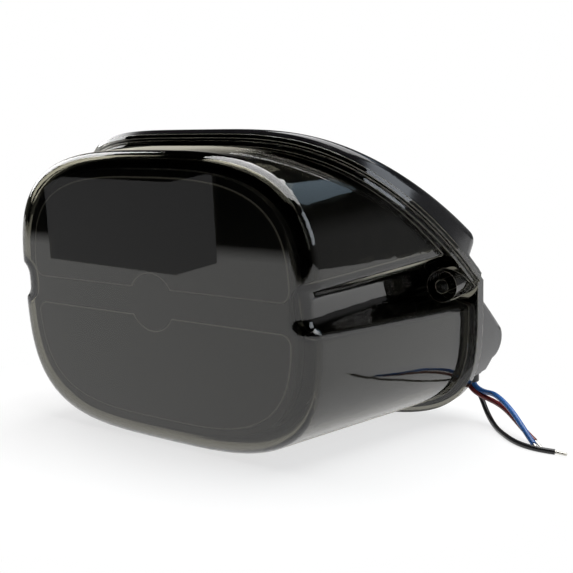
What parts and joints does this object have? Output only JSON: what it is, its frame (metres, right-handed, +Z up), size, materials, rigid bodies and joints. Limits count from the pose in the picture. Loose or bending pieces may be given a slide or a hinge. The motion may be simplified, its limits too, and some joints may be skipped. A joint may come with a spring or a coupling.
{
  "type": "motorcycle tail light",
  "caption": "Wedge-shaped smoked motorcycle tail light with side screw channels, a tilted mounting flange, black rear housing and loose wires.",
  "frame": {"origin": "midway between the two mounting holes, on the plane where the lower flange and screw bosses seat", "axes": "+X to the right seen from in front of the lens, +Y from the face towards the fender, +Z up"},
  "size_m": [0.2085, 0.125, 0.1225],
  "materials": {
    "smoked_lens": "gloss smoked polycarbonate",
    "clear_window": "clear polycarbonate",
    "seal": "soft black sealant",
    "light_panel": "dark smoke light panel",
    "frame_black": "moulded black",
    "reflector": "dark bright-coated reflector",
    "board": "solder-masked glass fibre board",
    "led_package": "white LED package",
    "led_dome": "clear red-tinted silicone",
    "aluminium": "extruded, clear anodised",
    "screw_steel": "zinc plated",
    "chip_black": "moulded epoxy",
    "can_silver": "rolled can",
    "housing_black": "gloss black moulding",
    "bush_rubber": "moulded rubber",
    "wire_black": "soft PVC",
    "wire_blue": "soft PVC",
    "wire_red": "soft PVC",
    "tinned_copper": "tinned strands",
    "tie_nylon": "nylon"
  },
  "bodies": {
    "root": {"lens": "smoked_lens", "inner_shroud": "frame_black", "lens_seal": "seal", "plate_window": "clear_window", "upper_panel": "light_panel", "lower_panel": "light_panel", "panel_frame": "frame_black", "reflector_tray": "reflector", "led_board": "board", "tail_leds": "led_package", "led_domes": "led_dome", "heat_sink": "aluminium", "board_screws": "screw_steel", "driver_chip": "chip_black", "resistors": "chip_black", "capacitor": "can_silver", "diodes": "chip_black", "plate_light_board": "board", "plate_leds": "led_package", "plate_board_screws": "screw_steel", "rear_housing": "housing_black", "mounting_bushes": "bush_rubber", "vent_plug": "bush_rubber", "wire_grommet": "bush_rubber", "wire_sleeve": "wire_black", "cable_tie": "tie_nylon", "black_wire": "wire_black", "blue_wire": "wire_blue", "red_wire": "wire_red", "tinned_wire_ends": "tinned_copper", "solder_joints": "tinned_copper"}
  },
  "joints": []
}
